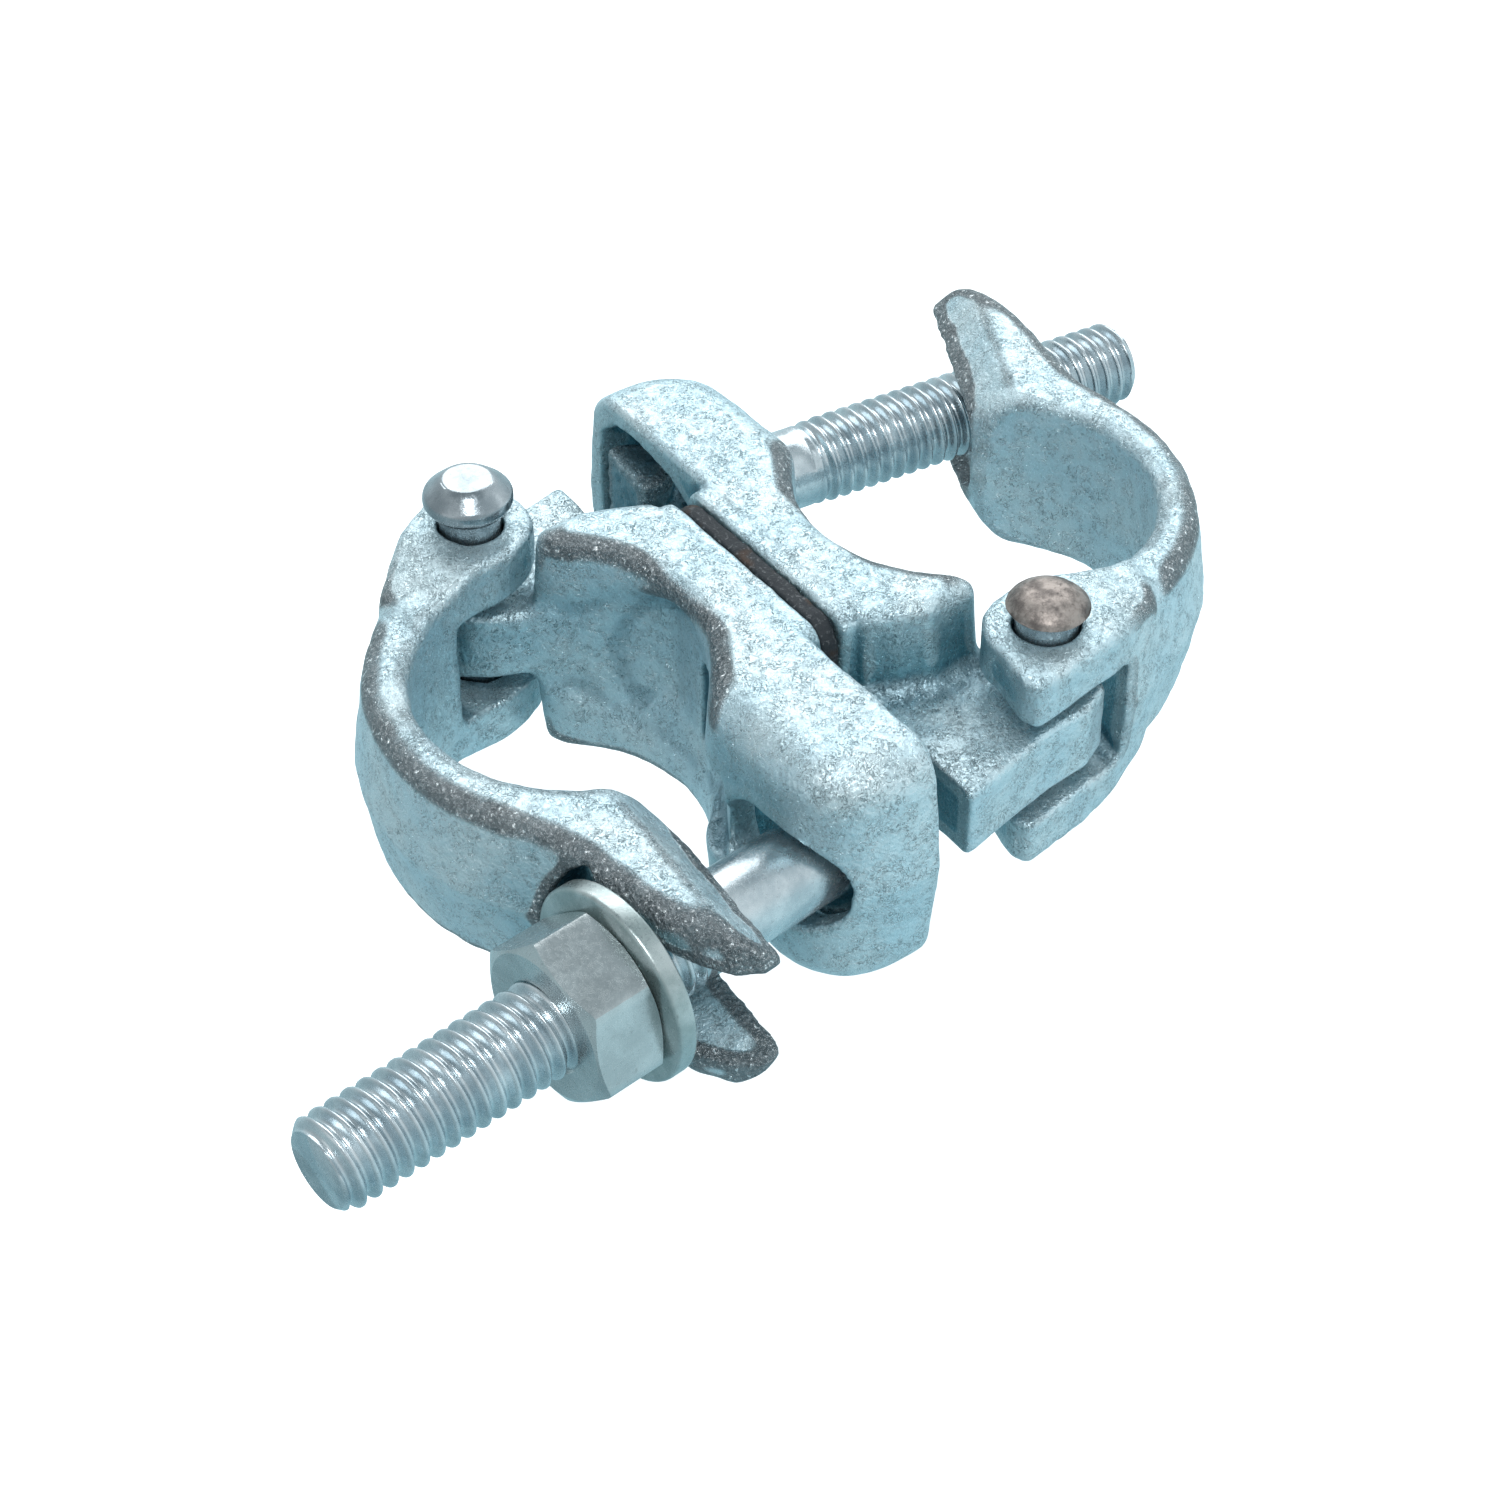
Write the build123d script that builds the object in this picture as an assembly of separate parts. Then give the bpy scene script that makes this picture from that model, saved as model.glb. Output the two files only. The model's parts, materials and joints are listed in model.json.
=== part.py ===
from build123d import *
import math
import os

# Swivel scaffold coupler for 48.3 mm tube, drop forged, as an assembly of separate pieces.
# Row frame: origin at the centre of tube seat B, Z up along the tube axes at rest, X along the
# swivel pin from half A (-X) to half B (+X), Y along the bodies.
# Every half is designed in its own plan frame: u outward from the swivel plane, v along the
# body, hinge at -v, bolt at +v. Half B stands as designed, half A is turned 180 degrees about Z
# through the swivel centre. At the end everything moves by -SEAT_U along X to the row frame.

# tube and seat
TUBE_D = 48.3
SEAT_CLEARANCE = 0.1
SEAT_R = TUBE_D / 2 + SEAT_CLEARANCE
SEAT_U = 37.26

# body
BODY_HALF = 20.6
BLOCK_BACK_U = -1.0
BACK_U = 4.2
PAD_V = 19.8
PAD_Z = 20.0
PAD_ROUND = 5.0
PAD_FACE = 1.55
BODY_DRAFT = 7.0
RIM_H = 4.5
RIM_BEVEL = 2.0
RELIEF = 0.6
RELIEF_HALF = 7.0
TONGUE_HALF = 6.2

# hinge
HINGE_U = 27.74
HINGE_V = -34.17
PIN_R = 4.70
PIN_BORE = 4.76
EYE_R = 9.2
PIN_HIGH = 20.3
PIN_LOW = -17.5
PIN_HEAD_R = 6.8
PIN_HEAD_H = 5.5
PIN_TAIL_R = 6.2
PIN_TAIL_H = 3.2

# cap, drawn closed on the tube, then turned to where each half stands
CAP_HALF = 14.7
CAP_DRAFT = 8.0
LUG_HALF = 17.4
LUG_R = 9.4
FORK_HALF = 9.5
CAP_TURN_A = 9.51
CAP_TURN_B = -12.36
NOSE_R = 25.0
NOSE_U = 39.5
NOSE_V = 39.6
SLOT_HALF = 8.3
SLOT_V = 25.0

# T-bolt M14 with its hammer head in the body
BOLT_D = 14.0
SHANK_R = 6.7
THREAD_CHAMFER = 0.8
HEAD_U = 10.94
HEAD_V = 38.73
HEAD_R = 6.4
HEAD_BACK = 1.6
HEAD_HALF = 11.0
BOLT_LEN = 92.2
THREAD_START = 30.0
BOLT_TURN_A = 6.51
BOLT_TURN_B = -6.49
BOLT_SLID_B = 6.0

# body box round the bolt head
BOX_V0 = 22.5
BOX_V1 = 47.9
BOX_HALF = 16.8
BOX_U = 17.9
GATE_HALF = 8.4
GATE_V0 = 26.6
GATE_V1 = 49.3

# nut and washer on bolt A
NUT_AF = 23.0
NUT_H = 11.0
NUT_BORE_R = 7.06
NUT_TURN = 10.9
NUT_GAP = 0.05
WASHER_R = 14.9
WASHER_T = 3.0
WASHER_BORE_R = 7.5
WASHER_AT = 41.42
WASHER_CHAMFER = 0.5
NUT_AT = WASHER_AT + WASHER_T + NUT_GAP

# swivel rivet and friction plate
SWIVEL_R = 7.5
SWIVEL_BORE = 7.56
SWIVEL_HEAD_R = 11.0
SWIVEL_HEAD_H = 2.6
SWIVEL_GAP = 0.05
DISH_R = 15.0
DISH_FLOOR_R = 12.2
DISH_U = 9.4
DISH_WALL_U = 12.0
RAMP_U = 15.4
RAMP_V = 12.0
RAMP_TURN = -34.0
RAMP_DEEP = 9.0
RAMP_LEN = 22.0
RAMP_WIDTH = 17.0
PLATE_HALF = 19.4
PLATE_T = 3.0

os.makedirs("parts", exist_ok=True)


def plate(points, z0, z1):
    """A flat polygon in plan, raised from z0 to z1."""
    face = make_face(Polyline(*points, close=True))
    return Pos(0, 0, z0) * extrude(face, z1 - z0)


def inset(points, gap):
    """A polygon with every side moved inward by the same gap."""
    count = len(points)
    area = sum(points[i - 1][0] * points[i][1] - points[i][0] * points[i - 1][1] for i in range(count))
    gap = gap if area > 0 else -gap
    moved = []
    for i in range(count):
        (ax, ay), (bx, by), (cx, cy) = points[i - 1], points[i], points[(i + 1) % count]
        d0 = math.hypot(bx - ax, by - ay)
        d1 = math.hypot(cx - bx, cy - by)
        n0 = ((ay - by) / d0, (bx - ax) / d0)
        n1 = ((by - cy) / d1, (cx - bx) / d1)
        k = gap / (1 + n0[0] * n1[0] + n0[1] * n1[1])
        moved.append((bx + k * (n0[0] + n1[0]), by + k * (n0[1] + n1[1])))
    return moved


def drafted(points, half, angle, edge=0.0):
    """A polygon in the parting plane raised both ways with a draft and bevelled rims."""
    slope = math.tan(math.radians(angle))
    stations = [(half - edge, (half - edge) * slope)]
    if edge > 0:
        stations.append((half, half * slope + edge * 0.6))
    stations = [(-z, g) for z, g in reversed(stations)] + [(0, 0)] + stations
    solid = None
    for (z0, g0), (z1, g1) in zip(stations, stations[1:]):
        low = Pos(0, 0, z0) * make_face(Polyline(*inset(points, g0), close=True))
        high = Pos(0, 0, z1) * make_face(Polyline(*inset(points, g1), close=True))
        slab = loft([low, high], ruled=True)
        solid = slab if solid is None else solid + slab
    return solid


def rod(u, v, r, z0, z1):
    """A round bar parallel to Z."""
    return Pos(u, v, (z0 + z1) / 2) * Cylinder(r, z1 - z0)


def x_rod(r, x0, x1):
    """A round bar along X through the swivel centre."""
    return Pos((x0 + x1) / 2, 0, 0) * Rot(0, 90, 0) * Cylinder(r, x1 - x0)


def x_plate(half_v, half_z, corner, x0, x1):
    """A plate across X, centred on the swivel, with rounded corners."""
    back = Plane(origin=(x0, 0, 0), x_dir=(0, 1, 0), z_dir=(1, 0, 0))
    return extrude(back * RectangleRounded(2 * half_v, 2 * half_z, corner), x1 - x0)


def half_a(shape):
    return Rot(0, 0, 180) * shape


def turned(shape, u, v, angle):
    """The shape turned about a line parallel to Z through (u, v)."""
    return Pos(u, v, 0) * Rot(0, 0, angle) * Pos(-u, -v, 0) * shape


def make_body():
    # saddle block with the rounded bolt end and the cut-back hinge end, drafted both ways
    outline = [
        (BLOCK_BACK_U, -19.0),
        (BLOCK_BACK_U, 51.5),
        (8.5, 52.2),
        (13.5, 51.6),
        (18.5, 49.4),
        (22.4, 45.6),
        (24.4, 40.5),
        (24.9, 35.0),
        (25.3, -22.8),
        (22.0, -26.6),
        (14.0, -26.6),
        (9.0, -24.9),
    ]
    block = drafted(outline, BODY_HALF, BODY_DRAFT, RIM_H)
    block -= Pos(BACK_U - 10, 0, 0) * Box(20, 140, 60)
    seat = rod(SEAT_U, 0, SEAT_R, -30, 30)
    body = block - seat
    for side in (1, -1):
        rim = Pos(SEAT_U, 0, side * (BODY_HALF - 1.0)) * Rot(90 - 90 * side, 0, 0)
        body -= rim * Cone(SEAT_R - 0.1, SEAT_R + RIM_BEVEL, RIM_BEVEL + 0.1)
    # square pad that carries the swivel, proud of the back
    body += x_plate(PAD_V, PAD_Z, PAD_ROUND, PAD_FACE, BACK_U + 1.0)
    # hinge tongue with its eye
    tongue = [
        (BACK_U, -14.0),
        (5.2, -47.0),
        (13.0, -45.6),
        (22.2, -43.9),
        (28.0, -43.2),
        (34.6, -40.4),
        (36.7, -36.0),
        (36.3, -31.0),
        (33.4, -27.0),
        (24.9, -20.8),
        (18.0, -14.0),
    ]
    arm = plate(tongue, -TONGUE_HALF, TONGUE_HALF)
    arm += rod(HINGE_U, HINGE_V, EYE_R, -TONGUE_HALF, TONGUE_HALF)
    body += arm - seat
    body -= rod(HINGE_U, HINGE_V, PIN_BORE, -20, 20)
    # relief between the two lands that bear on the tube
    body -= rod(SEAT_U, 0, SEAT_R + RELIEF, -RELIEF_HALF, RELIEF_HALF)
    # dish for the rivet head, with a ramp toward the bolt side
    flare = Cone(DISH_FLOOR_R, DISH_R, DISH_WALL_U - DISH_U)
    body -= Pos((DISH_U + DISH_WALL_U) / 2, 0, 0) * Rot(0, 90, 0) * flare
    body -= x_rod(DISH_R, DISH_WALL_U, 20)
    body -= Pos(RAMP_U, RAMP_V, 0) * Rot(0, 0, RAMP_TURN) * Box(RAMP_DEEP, RAMP_LEN, RAMP_WIDTH)
    body -= x_rod(SWIVEL_BORE, -5, 20)
    # box open at the back for the bolt head
    window = [
        (BOX_V0, 12.6),
        (27.6, 15.6),
        (36.0, BOX_HALF),
        (42.8, 16.2),
        (46.4, 13.0),
        (BOX_V1, 5.0),
    ]
    window += [(v, -z) for v, z in reversed(window)]
    pane = Plane(origin=(-2, 0, 0), x_dir=(0, 1, 0), z_dir=(1, 0, 0)) * make_face(Polyline(*window, close=True))
    depth = [
        (-3.0, BOX_V0 - 1),
        (-3.0, BOX_V1 + 1),
        (7.0, BOX_V1 + 1),
        (13.0, 46.6),
        (BOX_U, 43.6),
        (BOX_U, 25.4),
        (12.0, BOX_V0 - 0.1),
    ]
    body -= extrude(pane, 25) & plate(depth, -BOX_HALF, BOX_HALF)
    # gate the shank swings in, open toward the rounded end
    middle = (GATE_V0 + GATE_V1) / 2
    gate = Plane(origin=(BOX_U - 5, middle, 0), x_dir=(0, 1, 0), z_dir=(1, 0, 0))
    gate = gate * SlotOverall(GATE_V1 - GATE_V0, 2 * GATE_HALF)
    body -= extrude(gate, 17)
    return body


def make_cap():
    # curved strap from the hinge lugs round the tube to the nose, at the parting plane
    strap = [
        (31.0, -41.8),
        (36.4, -41.0),
        (42.6, -38.0),
        (50.0, -33.0),
        (57.2, -27.4),
        (63.2, -20.2),
        (67.9, -10.2),
        (69.8, 0.0),
        (69.6, 8.0),
        (68.0, 14.6),
        (65.6, 20.4),
        (61.6, 24.0),
        (63.2, 29.6),
        (64.4, 35.0),
        (64.8, 40.0),
        (64.4, 45.0),
        (63.0, 50.6),
        (60.4, 55.2),
        (57.4, 58.4),
        (53.6, 58.9),
        (50.4, 57.2),
        (48.2, 53.0),
        (47.0, 46.6),
        (45.6, 39.6),
        (45.2, 32.0),
        (45.0, 21.0),
        (36.0, 0.0),
        (31.0, -26.0),
    ]
    cap = drafted(strap, LUG_HALF, CAP_DRAFT)
    lug = [
        (20.0, -46.9),
        (23.0, -45.6),
        (29.5, -42.6),
        (36.0, -39.8),
        (40.6, -37.0),
        (46.0, -32.6),
        (44.0, -20.0),
        (28.0, -24.6),
        (20.0, -28.6),
        (18.3, -33.0),
        (18.4, -44.0),
    ]
    cap += plate(lug, -LUG_HALF, LUG_HALF)
    # side elevation: thicker over the pin, running down to the strap width
    sides = [(0.0, LUG_HALF), (31.0, LUG_HALF), (47.0, CAP_HALF), (80.0, CAP_HALF)]
    sides += [(u, -z) for u, z in reversed(sides)]
    sides = Plane(origin=(0, -60, 0), x_dir=(1, 0, 0), z_dir=(0, -1, 0)) * make_face(Polyline(*sides, close=True))
    cap &= extrude(sides, -140)
    cap -= rod(SEAT_U, 0, SEAT_R, -30, 30)
    # bevel along the inner face of the nose
    bevel = [(1.0, CAP_HALF + 0.94), (-15.0, CAP_HALF + 0.94), (-15.0, CAP_HALF - 14.1)]
    for side in (1, -1):
        wedge = make_face(Polyline(*[(a, side * z) for a, z in bevel], close=True))
        place = Plane(origin=(50.4, 19.0, 0), x_dir=(0.9703, -0.2419, 0), z_dir=(0.2419, 0.9703, 0))
        cap -= extrude(place * wedge, 50)
    # round the lugs to clear the saddle block
    keep = rod(HINGE_U, HINGE_V, LUG_R, -30, 30)
    trim = Pos(HINGE_U - 12, HINGE_V + 8, 0) * Box(24, 16, 60)
    cap -= trim - keep
    # fork gap over the tongue, ending in the strap
    cap -= Pos(26.6, -36.0, 0) * Box(26.0, 30.0, 2 * FORK_HALF)
    cap -= rod(HINGE_U, HINGE_V, PIN_BORE, -30, 30)
    # open slot for the bolt, with a rounded inner end
    slot = [(40, SLOT_V + SLOT_HALF), (80, SLOT_V + SLOT_HALF), (80, 80), (40, 80)]
    cap -= plate(slot, -SLOT_HALF, SLOT_HALF)
    cap -= Pos(60, SLOT_V + SLOT_HALF, 0) * Rot(0, 90, 0) * Cylinder(SLOT_HALF, 40)
    # curved bearing face for the washer, cut into the outside of the nose
    outside = plate([(58.0, 23.6), (80.0, 23.6), (80.0, 70.0), (52.0, 70.0)], -WASHER_R - 1, WASHER_R + 1)
    cap -= outside - rod(NOSE_U, NOSE_V, NOSE_R, -30, 30)
    return cap


def make_bolt():
    # along +X from the head centre; hammer head parallel to Z
    shank = Pos(THREAD_START / 2, 0, 0) * Rot(0, 90, 0) * Cylinder(SHANK_R, THREAD_START)
    length = BOLT_LEN - THREAD_START
    thread = Pos(THREAD_START + length / 2, 0, 0) * Rot(0, 90, 0) * Cylinder(BOLT_D / 2, length)
    ends = thread.edges().filter_by(GeomType.CIRCLE)
    thread = chamfer(ends, THREAD_CHAMFER)
    head = Cylinder(HEAD_R, 2 * HEAD_HALF)
    head -= Pos(-HEAD_BACK - 10, 0, 0) * Box(20, 20, 30)
    return head + shank + thread


def placed_bolt(angle, slid=0.0):
    return Pos(HEAD_U, HEAD_V, 0) * Rot(0, 0, angle) * Pos(-slid, 0, 0) * make_bolt()


def on_bolt(shape, at, angle):
    """Put a shape, made along +X from 0, at a distance along the bolt."""
    return Pos(HEAD_U, HEAD_V, 0) * Rot(0, 0, angle) * Pos(at, 0, 0) * shape


def make_washer():
    ring = Pos(WASHER_T / 2, 0, 0) * Rot(0, 90, 0) * Cylinder(WASHER_R, WASHER_T)
    edge = ring.edges().filter_by(GeomType.CIRCLE).sort_by(Axis.X)[-1]
    ring = chamfer(edge, WASHER_CHAMFER)
    return ring - Pos(WASHER_T / 2, 0, 0) * Rot(0, 90, 0) * Cylinder(WASHER_BORE_R, WASHER_T + 2)


def make_nut():
    prism = extrude(RegularPolygon(NUT_AF / 2, 6, major_radius=False), NUT_H)
    across = NUT_AF / math.sqrt(3)
    ball = Pos(0, 0, NUT_H / 2) * Cylinder(across + 0.05, NUT_H)
    ball = chamfer(ball.edges().filter_by(GeomType.CIRCLE), length=0.9, length2=1.7)
    nut = prism & ball
    nut -= Pos(0, 0, NUT_H / 2) * Cylinder(NUT_BORE_R, NUT_H + 2)
    return Rot(0, 90, 0) * nut


def make_pin():
    # factory head above, peened tail below
    shank = rod(0, 0, PIN_R, PIN_LOW - 1.0, PIN_HIGH + 1.0)
    head = rod(0, 0, PIN_HEAD_R, PIN_HIGH, PIN_HIGH + PIN_HEAD_H)
    rims = head.edges().filter_by(GeomType.CIRCLE).sort_by(Axis.Z)
    head = chamfer(rims[-1], 1.9, 2.9)
    head = chamfer(head.edges().filter_by(GeomType.CIRCLE).sort_by(Axis.Z)[0], 1.4)
    tail = rod(0, 0, PIN_TAIL_R, PIN_LOW - PIN_TAIL_H, PIN_LOW)
    tail = chamfer(tail.edges().filter_by(GeomType.CIRCLE).sort_by(Axis.Z)[0], 2.3, 3.2)
    return shank + head + tail


def make_swivel_rivet():
    pin = x_rod(SWIVEL_R, -DISH_U - 2.0, DISH_U + 2.0)
    for side in (-1, 1):
        head = x_rod(SWIVEL_HEAD_R, DISH_U + SWIVEL_GAP, DISH_U + SWIVEL_HEAD_H)
        head = chamfer(head.edges().filter_by(GeomType.CIRCLE).sort_by(Axis.X)[-1], 1.2)
        if side < 0:
            head = Rot(0, 0, 180) * head
        pin += head
    return pin


def make_friction_plate():
    sheet = x_plate(PLATE_HALF, PLATE_HALF, PAD_ROUND, -PLATE_T / 2, PLATE_T / 2)
    return sheet - x_rod(SWIVEL_BORE, -5, 5)


body = make_body()
cap = make_cap()
pin = make_pin()
pin_a = Pos(HINGE_U, HINGE_V, 0) * pin
pin_b = Pos(HINGE_U, HINGE_V, PIN_HIGH + PIN_LOW) * Rot(180, 0, 0) * pin

nodes = {
    "body_a": half_a(body),
    "body_b": body,
    "cap_a": half_a(turned(cap, HINGE_U, HINGE_V, CAP_TURN_A)),
    "cap_b": turned(cap, HINGE_U, HINGE_V, CAP_TURN_B),
    "hinge_rivet_a": half_a(pin_a),
    "hinge_rivet_b": pin_b,
    "t_bolt_a": half_a(placed_bolt(BOLT_TURN_A)),
    "t_bolt_b": placed_bolt(BOLT_TURN_B, BOLT_SLID_B),
    "washer_a": half_a(on_bolt(make_washer(), WASHER_AT, BOLT_TURN_A)),
    "nut_a": half_a(on_bolt(Rot(NUT_TURN, 0, 0) * make_nut(), NUT_AT, BOLT_TURN_A)),
    "swivel_rivet": make_swivel_rivet(),
    "friction_plate": make_friction_plate(),
}

for name, shape in nodes.items():
    export_step(Pos(-SEAT_U, 0, 0) * shape, f"parts/{name}.step")
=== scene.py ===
"""Swivel scaffold coupler: forged zinc-plated halves, one closed and one open, on a pale floor."""
import json
import math

import bpy
import numpy as np
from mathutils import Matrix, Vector

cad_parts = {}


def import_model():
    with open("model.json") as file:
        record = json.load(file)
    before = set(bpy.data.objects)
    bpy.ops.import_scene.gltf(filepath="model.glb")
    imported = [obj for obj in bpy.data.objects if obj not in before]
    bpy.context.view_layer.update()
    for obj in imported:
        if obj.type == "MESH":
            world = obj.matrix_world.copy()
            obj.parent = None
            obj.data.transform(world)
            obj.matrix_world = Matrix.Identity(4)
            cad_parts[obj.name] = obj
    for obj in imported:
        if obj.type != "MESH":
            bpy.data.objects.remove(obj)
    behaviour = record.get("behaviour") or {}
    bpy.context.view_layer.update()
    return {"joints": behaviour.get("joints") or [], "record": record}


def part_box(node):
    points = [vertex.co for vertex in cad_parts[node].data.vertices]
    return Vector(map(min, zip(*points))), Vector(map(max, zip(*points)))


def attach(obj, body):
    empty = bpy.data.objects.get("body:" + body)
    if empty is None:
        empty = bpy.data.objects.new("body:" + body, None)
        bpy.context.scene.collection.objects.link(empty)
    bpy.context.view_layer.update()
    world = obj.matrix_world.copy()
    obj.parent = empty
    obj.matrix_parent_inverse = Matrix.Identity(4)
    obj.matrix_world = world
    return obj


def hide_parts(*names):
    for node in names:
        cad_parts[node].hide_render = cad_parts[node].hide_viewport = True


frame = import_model()
joints = {j["name"]: j for j in frame["joints"]}

# ---------------------------------------------------------------- frame, in millimetres
# A half is shaped in its own plan frame: u outward from the swivel plane, v along the body,
# hinge at -v, bolt at +v. The row frame's origin is the centre of seat B, SEAT_U from the swivel.
MM = 0.001
SEAT_U = -joints["swivel"]["pos_m"][0] / MM
SEAT_R = frame["record"]["mounts"][0]["dims"]["r_mm"]


def plan_of(joint_name):
    """A joint's place in half B's plan frame; half A's frame is the same with both signs changed."""
    x, y, _ = joints[joint_name]["pos_m"]
    return np.array([x / MM + SEAT_U, y / MM])


HINGE = plan_of("cap_b_fold")
HEAD_B = plan_of("bolt_b_swing")
AXIS_A = np.array(joints["washer_a_slide"]["axis"][:2])
BOLT_A_ANGLE = math.atan2(-AXIS_A[1], -AXIS_A[0])
HEAD_A = -plan_of("bolt_a_swing")
TO_HEAD = HEAD_B - HEAD_A
BOLT_B_ANGLE = math.atan2(-TO_HEAD[1], -TO_HEAD[0])
CAP_TURN = {"a": math.radians(9.51), "b": math.radians(-12.36)}

# half heights of the forgings, how much they taper toward top and bottom, and the plane of their backs
BODY_HALF, TONGUE_HALF, CAP_HALF, LUG_HALF = 20.6, 6.1, 14.7, 17.4
BODY_DRAFT, SHOULDER_DRAFT, CAP_DRAFT = (math.tan(math.radians(angle)) for angle in (6.5, 5.0, 9.0))
BACK_U = 4.1
# swivel pad, dish and the pin whose heads lie under the dishes
PAD_V, PAD_Z, PAD_U, PAD_DEEP = 19.8, 20.2, 4.2, 2.5
DISH_R = 15.6
CREASE_U, CREASE_V = 9.6, -6.0
PIN_R, PIN_BORE = 7.3, 7.6
PIN_HEAD_R, PIN_HEAD_IN, PIN_HEAD_OUT = 11.0, 5.9, 8.2
HOLLOW_R, HOLLOW_U, HOLLOW_HALF = 11.4, 7.0, 1.5
# gate and slot the bolts swing in, gap of the cap's fork, its eye and the rivet's holes
GATE_R, GATE_V = 8.5, (26.4, 49.0)
SLOT_R, SLOT_V = 8.2, 25.3
FORK_HALF, FORK_U = 9.4, 39.4
EYE_R, TONGUE_BORE, LUG_BORE = 9.5, 4.85, 5.05
# bolts, rivets, washer, nut and friction plate
HEAD_R, HEAD_HALF, HEAD_BACK = 6.35, 11.0, -1.6
SHANK_R, THREAD_R, THREAD_DEEP, PITCH, THREAD_START = 6.62, 7.0, 1.35, 2.5, 30.0
RIVET_R, RIVET_HEAD, RIVET_TAIL = 4.68, 5.5, 3.2
WASHER_R, WASHER_BORE, WASHER_THICK = 14.9, 7.5, 3.0
NUT_FLATS, NUT_HIGH, NUT_BORE, NUT_TURN = 23.0, 11.0, 6.1, math.radians(10.9)
PLATE_V, PLATE_Z, PLATE_HALF, PLATE_BORE = 19.4, 19.6, 1.5, 7.7
# spacing of the grid the forgings are meshed on
GRID = 0.5
# bends that begin and finish to wear, and how far out the shade is measured
WEAR_FROM, WEAR_TO = 0.07, 0.30
SHADE_REACH = 4.0
# where the lights point, in row metres
LIGHT_AIM = Vector((-0.04, 0, 0))


# ---------------------------------------------------------------- distance fields
def inset(points, gap):
    """A polygon with every side moved inward by the same gap."""
    pts = np.asarray(points, float)
    nxt = np.roll(pts, -1, 0)
    area = np.sum(pts[:, 0] * nxt[:, 1] - nxt[:, 0] * pts[:, 1])
    edge = nxt - pts
    normal = np.stack([-edge[:, 1], edge[:, 0]], 1) / np.hypot(*edge.T)[:, None] * np.sign(area)
    before = np.roll(normal, 1, 0)
    return pts + gap * (normal + before) / (1 + (normal * before).sum(1))[:, None]


def polygon(u, v, points, rounding=0.0):
    """Signed distance to a plan polygon whose outward corners are rounded."""
    pts = inset(points, rounding) if rounding else np.asarray(points, float)
    nearest = np.full(u.shape, 1e9)
    inside = np.zeros(u.shape, bool)
    for (ax, ay), (bx, by) in zip(pts, np.roll(pts, -1, 0)):
        ex, ey = bx - ax, by - ay
        t = np.clip(((u - ax) * ex + (v - ay) * ey) / (ex * ex + ey * ey), 0, 1)
        nearest = np.minimum(nearest, (u - ax - t * ex) ** 2 + (v - ay - t * ey) ** 2)
        cross = ((v >= ay) != (v >= by)) & (u < ex * (v - ay) / (ey + 1e-12) + ax)
        inside ^= cross
    return np.where(inside, -1.0, 1.0) * np.sqrt(nearest) - rounding


def both(a, b, r):
    """Where both fields are inside, with the edge between them rounded to r."""
    deep = np.minimum(np.maximum(a + r, b + r), 0)
    return deep + np.hypot(np.maximum(a + r, 0), np.maximum(b + r, 0)) - r


def join(a, b, k):
    """Where either field is inside, with a fillet of about k where they meet."""
    h = np.clip(0.5 + 0.5 * (b - a) / k, 0, 1)
    return b + (a - b) * h - k * h * (1 - h)


def cut(a, tool, r):
    """Field a with the tool taken out, its new edges rounded to r."""
    return both(a, -tool, r)


def sink(a, tool, k):
    """Field a with the tool taken out, its new edges blended over about k."""
    return -join(-a, tool, k)


def ease(x, low, high):
    """Smooth step from 0 at low to 1 at high."""
    t = np.clip((x - low) / (high - low), 0, 1)
    return t * t * (3 - 2 * t)


def waves(u, v, z, seed, size):
    """Smooth unevenness of a forged skin, about -1 to 1."""
    total = 0.0
    rng = np.random.default_rng(seed)
    for _ in range(9):
        direction = rng.normal(size=3)
        direction *= 2 * math.pi / size / np.linalg.norm(direction) * rng.uniform(0.6, 1.5)
        total = total + np.sin(direction[0] * u + direction[1] * v + direction[2] * z + rng.uniform(0, 6.3))
    return total / 4.0


def softened(points, times=3):
    """An open run of points with its corners cut again and again, its two ends kept."""
    pts = np.asarray(points, float)
    for _ in range(times):
        early, late = 0.75 * pts[:-1] + 0.25 * pts[1:], 0.25 * pts[:-1] + 0.75 * pts[1:]
        cuts = np.stack([early, late], 1).reshape(-1, 2)
        pts = np.concatenate([pts[:1], cuts[1:-1], pts[-1:]])
    return pts.tolist()


# ---------------------------------------------------------------- forged saddle body
BOLT_END = [(5.0, 51.9), (9.5, 52.2), (14.3, 51.6), (19.4, 49.4), (23.2, 45.4), (24.9, 40.5), (25.1, 32.0)]
BLOCK = [(-3.0, -18.5), (-3.0, 51.2)] + softened(BOLT_END) + [
    (25.0, -23.4), (22.4, -26.0), (14.0, -26.2), (9.0, -24.4),
]
TONGUE = [
    (-2.0, -14.0), (-2.0, -47.4), (5.6, -47.2), (13.0, -45.4), (22.2, -43.4), (30.0, -42.7),
    (34.9, -40.2), (37.0, -35.0), (35.4, -29.4), (31.5, -25.4), (24.9, -20.0), (17.0, -12.0),
]
WINDOW = [
    (22.2, 12.4), (27.8, 15.8), (36.0, 17.2), (43.0, 16.6), (47.2, 13.2), (48.0, 4.0),
    (48.0, -4.0), (47.2, -13.2), (43.0, -16.6), (36.0, -17.2), (27.8, -15.8), (22.2, -12.4),
]


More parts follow.
